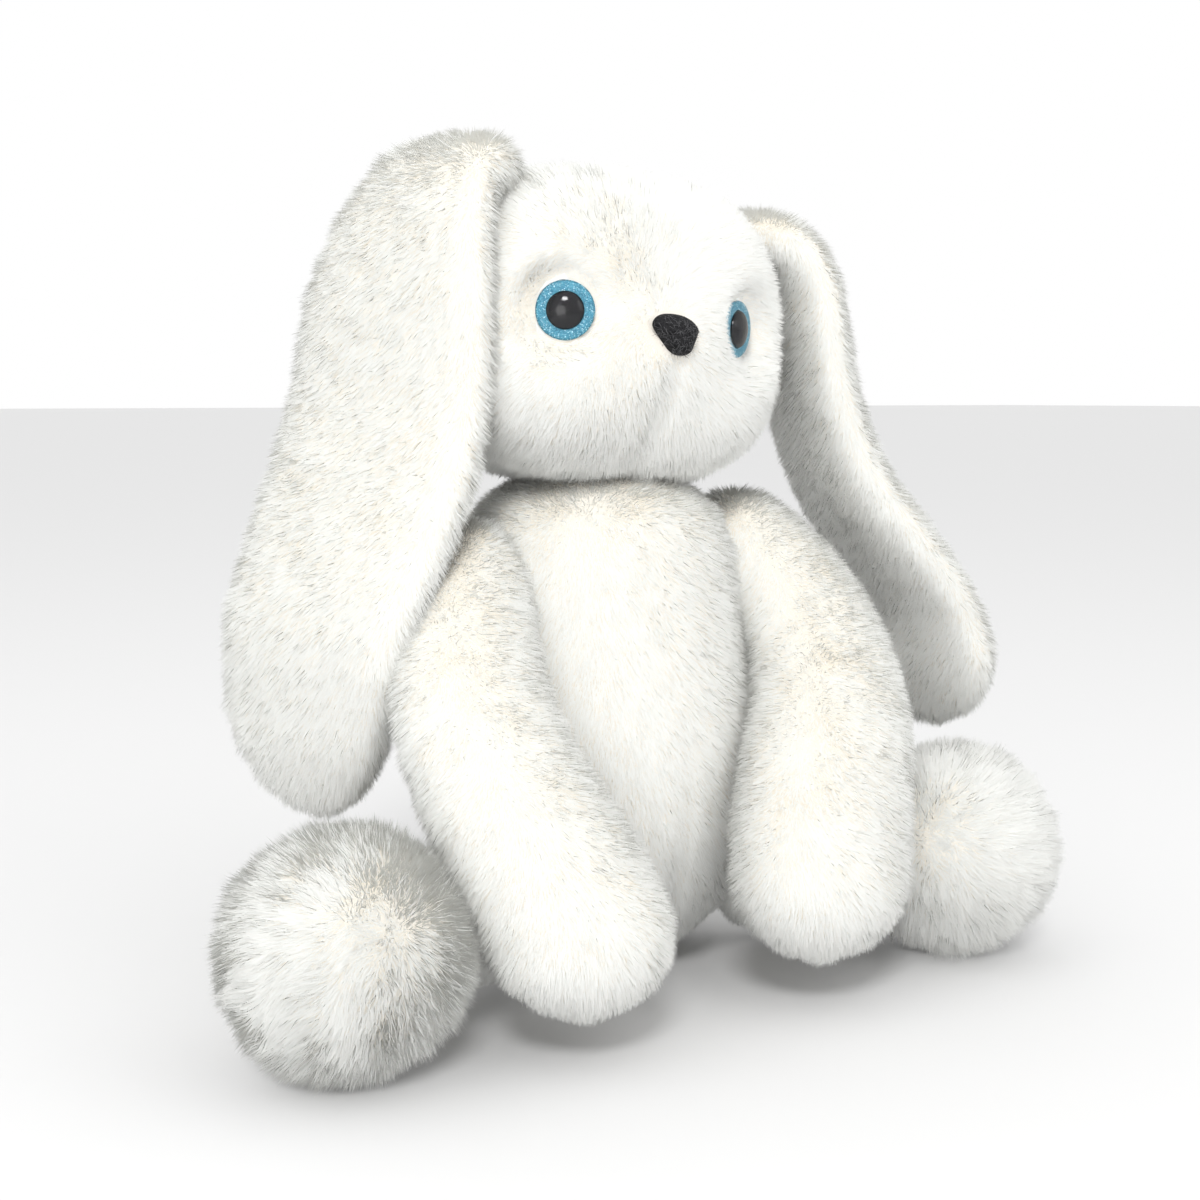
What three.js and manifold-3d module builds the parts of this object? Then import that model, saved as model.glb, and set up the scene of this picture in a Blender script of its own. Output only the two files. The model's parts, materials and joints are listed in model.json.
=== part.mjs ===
// A seated plush rabbit with long lop ears, mitten paws and big round feet.
// Millimetres, +Z up. The rabbit faces -Y and its right side is at -X.
// The origin is on the surface it sits on, below the middle of the neck.
import * as THREE from "three";
import { mergeVertices } from "three/addons/utils/BufferGeometryUtils.js";
import Module from "manifold-3d";

const wasm = await Module();
wasm.setup();

// ---- Driving dimensions ----
const GAP = 0.5; // between two pieces that touch
const FUR_WALL = 6; // fabric and its pile together
const FILL_GAP = 0.6; // between a fabric shell and its filling
const TURN_PLAY = 1.2; // between a limb's round root and the socket it turns in
const BODY_TURNS = 20; // facets around the torso and the head
const LIMB_TURNS = 16; // facets around every smaller round piece

const NECK = { up: 155, radius: 28, opening: 13 }; // the head nods about the middle of this ball
const HEAD = {
  out: -1,
  back: 2,
  up: 234,
  halfWidth: 63,
  halfDepth: 52,
  halfHeight: 57,
  sideSquareness: 2.9, // 2 is round, more is boxier
  planSquareness: 3.2,
  tilt: 4, // degrees, the right side is the higher one
};
const EYE = { out: 35.5, front: -40.5, up: 2, splay: 33, radius: 10, pupilRadius: 6.5, dome: 4.2 };
const NOSE = { front: -52, up: -3, halfWidth: 9.5, halfHeight: 7.5, depth: 8 };
const STEM = { radius: 2.2, length: 13, play: 0.5 };
const WASHER = { radius: 7, thickness: 1.6, depth: 9.4, pocket: 5.5 };

const TORSO = { bulge: 60, seatBack: 18 }; // below the bulge the belly draws back to the seat
// The torso from the seat up to the neck, as [radius, height].
const TORSO_OUTLINE = [
  [0, 0], [30, 0], [43, 8], [53, 23], [59, 44], [60, 68],
  [55, 92], [47.5, 116], [40.5, 138], [34.5, 154], [29, 165],
];

const SHOULDER = { out: 57, back: -6, up: 150, radius: 21, opening: 10 };
// The arm past its root, as [share of the way to the paw's middle, radius].
const ARM_OUTLINE = [[0.18, 20.5], [0.4, 22], [0.6, 24.5], [0.8, 26.5]];
const PAW_RADIUS = 27.5;
const ARM_FLATNESS = 0.88;
const ARM_BENDS = {
  right: [[74, -46, 107], [70, -75, 70], [58, -90, 38]],
  left: [[71, -47, 112], [56, -75, 72], [35, -89, 40]],
};

const HIP = { out: 63, back: -22, up: 32, radius: 27, opening: 13 };
const FOOT = { back: -69, radius: 40, opening: 17 };
const FEET_OUT = { right: 134, left: 116 };
// The leg past its root, as [distance from the hip, radius].
const LEG_OUTLINE = [[16, 22.5], [34, 22.5], [50, 26]];

const EAR = {
  panel: 6,
  wadding: 4,
  rim: 5, // the wadding stops this far short of the ear's edge
  rootRadius: 8.5,
  rootPlay: 4, // room in the head for the ear to lift
  endPlay: 7, // the same at each end of the root
  rootHalfLength: 28,
  rootMiddle: 5,
  halfWidth: 45,
  tipHalfWidth: 37,
  spread: 70, // the ear reaches its full width this far below its top
  tipRound: 26,
  steps: 20,
  turn: 20, // degrees, the ear's rear edge stands away from the body
  padStart: 0.05, // the wadding and the lining begin this share of the way down
};
// Each ear's middle line seen from the front, as [distance out, height].
const EAR_LINES = {
  right: [
    [46, 285], [56, 290], [66, 286], [74, 275], [79, 250], [83, 209], [92, 181], [102, 157], [111, 131],
    [110, 105], [105, 64],
  ],
  left: [
    [52, 279], [61, 286], [71, 283], [79, 266], [85, 245], [93, 209], [104, 181], [122, 155], [137, 130],
    [144, 104], [146, 84],
  ],
};
// The middle of the ear from front to back, before it is turned.
const EAR_MIDDLES = { right: { high: 15, tip: 32 }, left: { high: 13, tip: 13 } };

const TAIL = { radius: 20, up: 44, back: 76 };
const PELLET_BAG = { radius: 24, height: 20, back: 14 };

const COLOURS = {
  fur: 0xf4f3ee,
  filling: 0xffffff,
  calico: 0xe6ddc8,
  iris: 0x2f9cc0,
  black: 0x0c0c0e,
  clear: 0xe8f0f4,
};
const SIDES = { right: -1, left: 1 };
const UP = new THREE.Vector3(0, 0, 1);

// ---- Materials ----
const look = (color, roughness) => new THREE.MeshStandardMaterial({ color, roughness, metalness: 0 });
const fur = () => look(COLOURS.fur, 0.95);
const filling = () => look(COLOURS.filling, 1);
const calico = () => look(COLOURS.calico, 0.9);
const glitter = () => look(COLOURS.iris, 0.35);
const glossBlack = () => look(COLOURS.black, 0.15);
const flock = () => look(COLOURS.black, 0.9);
const clearPlastic = () => look(COLOURS.clear, 0.05);
const washerPlastic = () => look(COLOURS.filling, 0.5);

// ---- Solids ----
function toSolid(geometry) {
  const plain = geometry.clone();
  plain.deleteAttribute("normal");
  plain.deleteAttribute("uv");
  const merged = mergeVertices(plain, 1e-4);
  return new wasm.Manifold(
    new wasm.Mesh({
      numProp: 3,
      vertProperties: new Float32Array(merged.attributes.position.array),
      triVerts: new Uint32Array(merged.index.array),
    }),
  );
}

function toGeometry(solid) {
  const mesh = solid.getMesh();
  const geometry = new THREE.BufferGeometry();
  geometry.setAttribute("position", new THREE.BufferAttribute(mesh.vertProperties, 3));
  geometry.setIndex(new THREE.BufferAttribute(mesh.triVerts, 1));
  geometry.computeVertexNormals();
  return geometry;
}

const cut = (geometry, ...tools) =>
  toGeometry(tools.reduce((left, tool) => left.subtract(toSolid(tool)), toSolid(geometry)));
const join = (first, second) => toGeometry(toSolid(first).add(toSolid(second)));
const shared = (first, second) => toGeometry(toSolid(first).intersect(toSolid(second)));

// Turns an outline of [radius, height], running upwards between two points on the axis, about Z.
function turned(outline, turns = LIMB_TURNS) {
  const points = outline.map(([radius, height]) => new THREE.Vector2(radius, height));
  return new THREE.LatheGeometry(points, turns).rotateX(Math.PI / 2);
}

// The outline moved inwards by depth.
function inset(outline, depth) {
  const last = outline.length - 1;
  return outline.map(([radius, height], index) => {
    if (index === 0) return [0, height + depth];
    if (index === last) return [0, height - depth];
    const alongRadius = outline[index + 1][0] - outline[index - 1][0];
    const alongHeight = outline[index + 1][1] - outline[index - 1][1];
    const length = Math.hypot(alongRadius, alongHeight);
    return [radius - (depth * alongHeight) / length, height + (depth * alongRadius) / length];
  });
}

// Points of a circle in an outline, from one angle in degrees to another, with 90 at the top.
function arc(radius, height, from, to, count) {
  return Array.from({ length: count + 1 }, (_, step) => {
    const angle = from + ((to - from) * step) / count;
    const radians = THREE.MathUtils.degToRad(angle);
    const onAxis = Math.abs(angle) === 90;
    return [onAxis ? 0 : radius * Math.cos(radians), height + radius * Math.sin(radians)];
  });
}

const ball = (centre, radius, turns = LIMB_TURNS) =>
  turned(arc(radius, 0, -90, 90, turns / 2), turns).translate(centre.x, centre.y, centre.z);

function pointed(geometry, from, direction) {
  const turn = new THREE.Quaternion().setFromUnitVectors(UP, direction);
  return geometry.applyQuaternion(turn).translate(from.x, from.y, from.z);
}

const rod = (from, direction, radius, length) =>
  pointed(turned([[0, 0], [radius, 0], [radius, length], [0, length]]), from, direction);

const at = (place, side = 1) => new THREE.Vector3(side * place.out, place.back, place.up);

// Moves every corner of a geometry in place.
function moveCorners(geometry, move) {
  const corners = geometry.attributes.position;
  const corner = new THREE.Vector3();
  for (let index = 0; index < corners.count; index += 1) {
    corner.fromBufferAttribute(corners, index);
    move(corner);
    corners.setXYZ(index, corner.x, corner.y, corner.z);
  }
  return geometry;
}

// Bends a solid that stands on the origin so that its height runs along a curve.
function bent(geometry, curve, flatness = 1) {
  const length = curve.getLength();
  return moveCorners(geometry, (corner) => {
    const share = THREE.MathUtils.clamp(corner.z / length, 0, 1);
    const along = curve.getTangentAt(share);
    const across = new THREE.Vector3(1, 0, 0).addScaledVector(along, -along.x).normalize();
    const thick = new THREE.Vector3().crossVectors(along, across);
    const flat = THREE.MathUtils.lerp(1, flatness, THREE.MathUtils.smoothstep(share, 0, 0.3));
    const place = curve
      .getPointAt(share)
      .addScaledVector(along, corner.z - share * length)
      .addScaledVector(across, corner.x / flat)
      .addScaledVector(thick, corner.y * flat);
    corner.copy(place);
  });
}

const rabbit = new THREE.Group();

function add(name, geometry, material, parent = rabbit) {
  const mesh = new THREE.Mesh(geometry, material);
  mesh.name = name;
  parent.add(mesh);
  return mesh;
}

// ---- Sockets that the turning pieces sit in ----
const neckPoint = new THREE.Vector3(0, 0, NECK.up);
const socket = (centre, radius) => ball(centre, radius + TURN_PLAY);
const shoulderSocket = (side) => socket(at(SHOULDER, side), SHOULDER.radius);
const hipSocket = (side) => socket(at(HIP, side), HIP.radius);

// Turns a piece of an ear about the upright line through the middle of its root.
function earTurned(geometry, side, line) {
  const [out] = line[0];
  const angle = THREE.MathUtils.degToRad(-side * EAR.turn);
  return geometry
    .translate(-side * out, -EAR.rootMiddle, 0)
    .rotateZ(angle)
    .translate(side * out, EAR.rootMiddle, 0);
}

function earRoot(side, line, radius, halfLength = EAR.rootHalfLength) {
  const [out, up] = line[0];
  const from = new THREE.Vector3(side * out, EAR.rootMiddle - halfLength, up);
  return earTurned(rod(from, new THREE.Vector3(0, 1, 0), radius, 2 * halfLength), side, line);
}

// ---- Torso ----
function torsoForm(depth) {
  const outline = [...TORSO_OUTLINE, ...arc(NECK.radius, NECK.up, 30, 90, 3)];
  return moveCorners(turned(inset(outline, depth), BODY_TURNS), (corner) => {
    const below = Math.max(1 - corner.z / TORSO.bulge, 0);
    corner.y += TORSO.seatBack * below ** 2;
  });
}

function addTorso() {
  const neckHole = rod(neckPoint, UP, NECK.opening, NECK.radius + GAP);
  const sockets = Object.values(SIDES).flatMap((side) => [shoulderSocket(side), hipSocket(side)]);
  const bagFloor = new THREE.Vector3(0, PELLET_BAG.back, FUR_WALL + GAP);
  const bagSpace = rod(new THREE.Vector3(0, PELLET_BAG.back, 0), UP, PELLET_BAG.radius + GAP,
    bagFloor.z + PELLET_BAG.height + GAP);
  const bagOutline = [
    [0, 0], [PELLET_BAG.radius - 4, 0], [PELLET_BAG.radius, 5],
    [PELLET_BAG.radius - 3, PELLET_BAG.height - 5], [10, PELLET_BAG.height], [0, PELLET_BAG.height],
  ];
  add("torso_shell", cut(torsoForm(0), torsoForm(FUR_WALL), neckHole, ...sockets), fur());
  add("torso_stuffing", cut(torsoForm(FUR_WALL + FILL_GAP), bagSpace, ...sockets), filling());
  add("seat_pellet_bag", pointed(turned(bagOutline), bagFloor, UP), calico());
}

// ---- Head, with its eyes and nose ----
function headForm(depth) {
  const { halfWidth, halfDepth, halfHeight, sideSquareness, planSquareness } = HEAD;
  const boxy = (value) => Math.sign(value) * Math.abs(value) ** (2 / sideSquareness);
  const outline = arc(1, 0, -90, 90, 12).map(([radius, height]) => [
    boxy(radius) * (halfWidth - depth), boxy(height) * (halfHeight - depth),
  ]);
  return moveCorners(turned(outline, BODY_TURNS), (corner) => {
    const angle = Math.atan2(corner.y, corner.x);
    const round = Math.abs(Math.cos(angle)) ** planSquareness + Math.abs(Math.sin(angle)) ** planSquareness;
    const squared = round ** (-1 / planSquareness);
    corner.x *= squared;
    corner.y *= (squared * (halfDepth - depth)) / (halfWidth - depth);
  });
}

// Where an eye or the nose sits, and the way it looks.
function features() {
  const splay = THREE.MathUtils.degToRad(EYE.splay);
  const eyes = Object.entries(SIDES).map(([name, side]) => ({
    name: `eye_${name}`,
    from: new THREE.Vector3(side * EYE.out, EYE.front, EYE.up),
    direction: new THREE.Vector3(side * Math.sin(splay), -Math.cos(splay), 0),
    seat: EYE.radius + GAP,
  }));
  const nose = {
    name: "nose",
    from: new THREE.Vector3(0, NOSE.front, NOSE.up),
    direction: new THREE.Vector3(0, -1, 0),
    seat: NOSE.halfWidth + GAP,
  };
  return { eyes, nose };
}

function addEye({ name, from, direction }, parent) {
  const discThickness = 1.2;
  const lensWall = 0.9;
  const { radius, pupilRadius, dome } = EYE;
  const iris = cut(
    turned([[0, 0], [radius, 0], [radius, discThickness], [0, discThickness]]),
    rod(new THREE.Vector3(0, 0, -1), UP, pupilRadius + GAP, 4),
  );
  const pupil = turned([
    [0, -STEM.length], [STEM.radius, -STEM.length], [STEM.radius, 0], [pupilRadius, 0],
    [pupilRadius, discThickness], [pupilRadius * 0.6, 2], [0, 2.4],
  ]);
  const base = discThickness + GAP;
  const lens = cut(
    turned([[0, base], [radius, base], [radius * 0.9, base + dome * 0.45], [radius * 0.55, base + dome * 0.85],
      [0, base + dome]]),
    turned([[0, base - 1], [radius - lensWall, base - 1], [radius * 0.8, base + dome * 0.4],
      [radius * 0.45, base + dome * 0.65], [0, base + dome - lensWall]]),
  );
  add(`${name}_iris`, pointed(iris, from, direction), glitter(), parent);
  add(`${name}_pupil`, pointed(pupil, from, direction), glossBlack(), parent);
  add(`${name}_lens`, pointed(lens, from, direction), clearPlastic(), parent);
}

function addNose({ name, from, direction }, parent) {
  const { halfWidth, halfHeight, depth } = NOSE;
  const cap = turned([
    [0, -STEM.length], [STEM.radius, -STEM.length], [STEM.radius, 0], [halfWidth, 0],
    [halfWidth, depth * 0.3], [halfWidth * 0.85, depth * 0.7], [halfWidth * 0.5, depth * 0.95], [0, depth],
  ]);
  cap.scale(1, halfHeight / halfWidth, 1);
  add(`${name}_cap`, pointed(cap, from, direction), flock(), parent);
}

function addWasher({ name, from, direction }, parent) {
  const base = from.clone().addScaledVector(direction, -WASHER.depth - WASHER.thickness);
  const washer = cut(
    rod(base, direction, WASHER.radius, WASHER.thickness),
    rod(base.clone().addScaledVector(direction, -1), direction, STEM.radius + STEM.play, WASHER.thickness + 2),
  );
  add(`${name}_washer`, washer, washerPlastic(), parent);
}

function addHead() {
  const head = new THREE.Group();
  head.position.copy(at(HEAD));
  head.rotation.y = THREE.MathUtils.degToRad(HEAD.tilt);
  head.updateMatrix();
  rabbit.add(head);
  const inHead = (geometry) => geometry.applyMatrix4(head.matrix.clone().invert());

  const { eyes, nose } = features();
  const fitted = [...eyes, nose];
  const behind = ({ from, direction }, depth) => from.clone().addScaledVector(direction, -depth);
  const seats = fitted.map((piece) => rod(piece.from, piece.direction, piece.seat, 12));
  const stemHoles = fitted.map((piece) =>
    rod(behind(piece, STEM.length + 2), piece.direction, STEM.radius + STEM.play, STEM.length + 4));
  const pockets = fitted.map((piece) =>
    rod(behind(piece, WASHER.depth + WASHER.pocket), piece.direction, WASHER.radius + GAP, WASHER.pocket + 6));
  const neck = inHead(socket(neckPoint, NECK.radius));
  const neckHole = inHead(rod(neckPoint, UP, NECK.opening, NECK.radius + 12));
  const earSockets = Object.entries(SIDES).map(([name, side]) => {
    const halfLength = EAR.rootHalfLength + EAR.endPlay;
    return inHead(earRoot(side, EAR_LINES[name], EAR.rootRadius + EAR.rootPlay, halfLength));
  });

  const shellCuts = [neck, neckHole, ...seats, ...stemHoles, ...earSockets];
  add("head_shell", cut(headForm(0), headForm(FUR_WALL), ...shellCuts), fur(), head);
  const fillingCuts = [neck, ...seats, ...pockets, ...stemHoles, ...earSockets];
  add("head_stuffing", cut(headForm(FUR_WALL + FILL_GAP), ...fillingCuts), filling(), head);
  eyes.forEach((eye) => addEye(eye, head));
  addNose(nose, head);
  fitted.forEach((piece) => addWasher(piece, head));
}

// ---- Ears ----
// The slab between two offsets from an ear's middle line, from a share of its length to its tip.
function earSlab(side, line, near, far, start) {
  const curve = new THREE.SplineCurve(line.map(([out, up]) => new THREE.Vector2(out, up)));
  const offset = (distance) =>
    Array.from({ length: EAR.steps + 1 }, (_, step) => {
      const share = start + ((1 - start) * step) / EAR.steps;
      const along = curve.getTangentAt(share);
      return curve.getPointAt(share).add(new THREE.Vector2(-along.y, along.x).multiplyScalar(distance));
    });
  const edge = [...offset(near), ...offset(far).reverse()].map(({ x, y }) => new THREE.Vector2(side * x, y));
  const depth = 4 * EAR.halfWidth;
  const slab = new THREE.ExtrudeGeometry(new THREE.Shape(edge), { depth, bevelEnabled: false });
  return slab.rotateX(Math.PI / 2).translate(0, depth / 2, 0);
}

// The ear's outline seen from the side, as a block that runs right through the ear.
function earBlock(name, margin) {
  const line = EAR_LINES[name];
  const top = Math.max(...line.map(([, up]) => up)) + EAR.rootRadius + 2 - margin;
  const tip = line[line.length - 1][1] + margin;
  const { high: middle, tip: tipMiddle } = EAR_MIDDLES[name];
  const half = EAR.halfWidth - margin;
  const tipHalf = EAR.tipHalfWidth - margin;
  const round = EAR.tipRound;
  const rootHalf = EAR.rootHalfLength - margin;
  const wide = top - EAR.spread;
  const outline = new THREE.Shape();
  outline.moveTo(EAR.rootMiddle - rootHalf, top);
  outline.bezierCurveTo(middle - half, top - 15, middle - half, wide, middle - half, wide - 20);
  outline.lineTo(tipMiddle - tipHalf, tip + round);
  outline.quadraticCurveTo(tipMiddle - tipHalf, tip, tipMiddle - tipHalf + round, tip);
  outline.lineTo(tipMiddle + tipHalf - round, tip);
  outline.quadraticCurveTo(tipMiddle + tipHalf, tip, tipMiddle + tipHalf, tip + round);
  outline.lineTo(middle + half, wide - 20);
  outline.bezierCurveTo(middle + half, wide, middle + half, top - 15, EAR.rootMiddle + rootHalf, top);
  const width = 400;
  const block = new THREE.ExtrudeGeometry(outline, { depth: width, bevelEnabled: false, curveSegments: 5 });
  return block.translate(0, 0, -width / 2).rotateX(Math.PI / 2).rotateZ(Math.PI / 2);
}

function addEar(name, side) {
  const line = EAR_LINES[name];
  const half = EAR.wadding / 2;
  const layer = (near, far, margin, start) =>
    earTurned(shared(earSlab(side, line, near, far, start), earBlock(name, margin)), side, line);
  const root = earRoot(side, line, EAR.rootRadius);
  const rootSpace = earRoot(side, line, EAR.rootRadius + GAP);
  add(`ear_${name}_outer_panel`, join(layer(half + GAP, half + GAP + EAR.panel, 0, 0), root), fur());
  add(`ear_${name}_wadding`, cut(layer(-half, half, EAR.rim, EAR.padStart), rootSpace), filling());
  add(`ear_${name}_lining`, cut(layer(-half - GAP - EAR.panel, -half - GAP, 0, EAR.padStart), rootSpace), fur());
}

// ---- Arms ----
function addArm(name, side) {
  const shoulder = at(SHOULDER, side);
  const bends = ARM_BENDS[name].map(([out, back, up]) => new THREE.Vector3(side * out, back, up));
  const curve = new THREE.CatmullRomCurve3([shoulder, ...bends]);
  const length = curve.getLength();
  const outline = [
    ...arc(SHOULDER.radius, 0, -90, 0, 4),
    ...ARM_OUTLINE.map(([share, radius]) => [radius, share * length]),
    ...arc(PAW_RADIUS, length, 0, 90, 4),
  ];
  const form = (depth) => bent(turned(inset(outline, depth)), curve, ARM_FLATNESS);
  const inwards = new THREE.Vector3(-side, 0, 0);
  const opening = rod(shoulder, inwards, SHOULDER.opening, SHOULDER.radius + GAP);
  add(`arm_${name}_shell`, cut(form(0), form(FUR_WALL), opening), fur());
  add(`arm_${name}_stuffing`, form(FUR_WALL + FILL_GAP), filling());
}

// ---- Legs and feet ----
function addLeg(name, side) {
  const hip = at(HIP, side);
  const foot = new THREE.Vector3(side * FEET_OUT[name], FOOT.back, FOOT.radius);
  const direction = foot.clone().sub(hip).normalize();
  const tubeStart = THREE.MathUtils.radToDeg(Math.acos(LEG_OUTLINE[0][1] / HIP.radius));
  const [end, endRadius] = LEG_OUTLINE[LEG_OUTLINE.length - 1];
  const outline = [
    ...arc(HIP.radius, 0, -90, tubeStart, 4),
    ...LEG_OUTLINE.slice(1).map(([distance, radius]) => [radius, distance]),
    [endRadius / 2, end + 1], [0, end + 1],
  ];
  const form = (depth) => pointed(turned(inset(outline, depth)), hip, direction);
  const ankle = ball(foot, FOOT.radius + GAP);
  const hipHole = rod(hip, direction.clone().negate(), HIP.opening, HIP.radius + GAP);
  add(`leg_${name}_shell`, cut(form(0), form(FUR_WALL), ankle, hipHole), fur());
  add(`leg_${name}_stuffing`, cut(form(FUR_WALL + FILL_GAP), ankle), filling());

  const ankleHole = rod(foot, direction.clone().negate(), FOOT.opening, FOOT.radius + GAP);
  const hollow = ball(foot, FOOT.radius - FUR_WALL);
  add(`foot_${name}_shell`, cut(ball(foot, FOOT.radius), hollow, ankleHole), fur());
  add(`foot_${name}_stuffing`, ball(foot, FOOT.radius - FUR_WALL - FILL_GAP), filling());
}

// ---- Tail ----
function addTail() {
  const pompom = ball(new THREE.Vector3(0, TAIL.back, TAIL.up), TAIL.radius);
  add("tail_pompom", cut(pompom, torsoForm(-GAP)), fur());
}

addTorso();
addHead();
Object.entries(SIDES).forEach(([name, side]) => {
  addEar(name, side);
  addArm(name, side);
  addLeg(name, side);
});
addTail();

export default rabbit;
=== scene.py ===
"""The looks of a seated plush rabbit: padded fabric skins, cut pile, glitter eyes and a flocked nose.

Sizes inside this script are millimetres in the part's own frame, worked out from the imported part.
"""

import json
import math

import bpy
import numpy as np
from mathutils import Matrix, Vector
from mathutils.kdtree import KDTree


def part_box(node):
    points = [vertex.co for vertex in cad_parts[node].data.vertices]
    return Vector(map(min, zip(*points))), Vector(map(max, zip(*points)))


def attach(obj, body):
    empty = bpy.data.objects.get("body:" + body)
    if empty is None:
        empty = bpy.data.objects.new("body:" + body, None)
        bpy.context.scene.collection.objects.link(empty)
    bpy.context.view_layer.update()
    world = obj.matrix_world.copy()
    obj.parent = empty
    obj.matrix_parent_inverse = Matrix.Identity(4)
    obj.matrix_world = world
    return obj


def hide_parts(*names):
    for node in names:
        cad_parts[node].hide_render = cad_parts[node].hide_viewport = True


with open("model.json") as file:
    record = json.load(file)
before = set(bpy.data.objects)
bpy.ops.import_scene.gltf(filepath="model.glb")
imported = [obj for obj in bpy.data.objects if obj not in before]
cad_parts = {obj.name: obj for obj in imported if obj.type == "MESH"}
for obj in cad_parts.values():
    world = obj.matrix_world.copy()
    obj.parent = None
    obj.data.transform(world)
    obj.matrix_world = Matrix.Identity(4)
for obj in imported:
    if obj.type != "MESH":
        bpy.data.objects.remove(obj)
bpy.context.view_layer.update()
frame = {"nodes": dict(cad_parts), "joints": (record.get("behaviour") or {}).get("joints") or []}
joints = {joint["name"]: joint for joint in frame["joints"]}

MM = 0.001
SEED = 7
SIDES = {"right": -1, "left": 1}
UP = np.array([0.0, 0.0, 1.0])


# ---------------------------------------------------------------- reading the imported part
def corners(node):
    """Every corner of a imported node, in millimetres."""
    mesh = frame["nodes"][node].data
    found = np.empty(len(mesh.vertices) * 3)
    mesh.vertices.foreach_get("co", found)
    return found.reshape(-1, 3) / MM


def middle(node):
    """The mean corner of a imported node, which lies on the axis of a turned one."""
    return corners(node).mean(0)


def box(node):
    low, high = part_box(node)
    return np.array(low) / MM, np.array(high) / MM


def joint_place(name):
    return np.array(joints[name]["pos_m"]) / MM


# ---------------------------------------------------------------- small sums
def unit(vectors):
    return vectors / np.maximum(np.linalg.norm(vectors, axis=-1, keepdims=True), 1e-9)


def smoothstep(value):
    value = np.clip(value, 0, 1)
    return value * value * (3 - 2 * value)


def eased(knots, shares):
    """A smooth curve through rows of [share, value...], read at shares."""
    knots = np.array(knots, float)
    place, value = knots[:, 0], knots[:, 1:]
    slope = np.gradient(value, place, axis=0)
    after = np.clip(np.searchsorted(place, shares, side="right"), 1, len(place) - 1)
    before = after - 1
    gap = (place[after] - place[before])[:, None]
    part = np.clip((shares - place[before])[:, None] / gap, 0, 1)
    return (
        value[before] * (2 * part**3 - 3 * part**2 + 1)
        + slope[before] * gap * (part**3 - 2 * part**2 + part)
        + value[after] * (3 * part**2 - 2 * part**3)
        + slope[after] * gap * (part**3 - part**2)
    )


def wander(points, size, seed, waves=7):
    """Smooth vectors between about -1 and 1 that change over distances of about size."""
    rng = np.random.default_rng(seed)
    directions = unit(rng.normal(size=(waves, 3))) * (2 * math.pi / size)
    phases = rng.uniform(0, 2 * math.pi, (3, waves))
    angles = points @ directions.T
    return np.stack([np.sin(angles + phase).sum(1) for phase in phases], 1) / math.sqrt(waves)


# ---------------------------------------------------------------- closed forms
def ring(turns, squareness=2.0):
    """Unit ring points as (across, thick), boxier with a higher squareness."""
    angle = np.arange(turns) * 2 * math.pi / turns
    power = 2 / squareness
    across = np.sign(np.cos(angle)) * np.abs(np.cos(angle)) ** power
    thick = np.sign(np.sin(angle)) * np.abs(np.sin(angle)) ** power
    return np.stack([across, thick], 1)


def closed_form(rings):
    """Corners and faces of a closed form through rings of points (rows, turns, 3)."""
    rows, turns, _ = rings.shape
    ends = np.array([rings[0].mean(0), rings[-1].mean(0)])
    points = np.concatenate([rings.reshape(-1, 3), ends])
    row = np.arange(rows - 1)[:, None] * turns
    here = np.arange(turns)[None, :]
    after = (here + 1) % turns
    quads = np.stack([row + here, row + after, row + turns + after, row + turns + here], 2)
    quads = quads.reshape(-1, 4)
    triangles = np.concatenate([quads[:, [0, 1, 2]], quads[:, [0, 2, 3]]])
    start, last = rows * turns, (rows - 1) * turns
    here, after = here[0], after[0]
    caps = np.concatenate(
        [
            np.stack([after, here, np.full(turns, start)], 1),
            np.stack([last + here, last + after, np.full(turns, start + 1)], 1),
        ]
    )
    return points, np.concatenate([triangles, caps])


def outward(points, faces):
    """Faces turned so that they look out, and the corners' normals."""
    a, b, c = (points[faces[:, index]] for index in range(3))
    volume = np.einsum("ij,ij->i", a, np.cross(b, c)).sum()
    if volume < 0:
        faces = faces[:, ::-1]
        a, c = c, a
    flat = np.cross(b - a, c - a)
    normals = np.zeros_like(points)
    for index in range(3):
        np.add.at(normals, faces[:, index], flat)
    return faces, unit(normals)


def pushed(points, spots):
    """Points moved by soft spots of (middle, reach, shift)."""
    moved = points.copy()
    for spot, reach, shift in spots:
        near = np.exp(-(((points - np.array(spot)) / np.array(reach)) ** 2).sum(1))
        moved += near[:, None] * np.array(shift)
    return moved


def round_ends(shares, start, end):
    """1 along a form's length, falling as a quarter circle within start and end of its two ends."""
    from_start = np.clip(1 - shares / start, 0, 1)
    from_end = np.clip(1 - (1 - shares) / end, 0, 1)
    return np.sqrt(np.maximum(1 - from_start**2, 0)) * np.sqrt(np.maximum(1 - from_end**2, 0))


def shares_to(rows):
    """Shares from 0 to 1 that are closer together near both ends."""
    angle = (np.arange(rows) + 0.5) / rows * math.pi
    return 0.5 - 0.5 * np.cos(angle)


def unit_ball(rows, turns):
    """Corners and faces of a ball of radius 1 about the origin."""
    angle = -math.pi / 2 + shares_to(rows) * math.pi
    plan = ring(turns)
    rings = np.empty((rows, turns, 3))
    rings[:, :, 0] = np.cos(angle)[:, None] * plan[None, :, 0]
    rings[:, :, 1] = np.cos(angle)[:, None] * plan[None, :, 1]
    rings[:, :, 2] = np.sin(angle)[:, None]
    return closed_form(rings)


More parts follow.
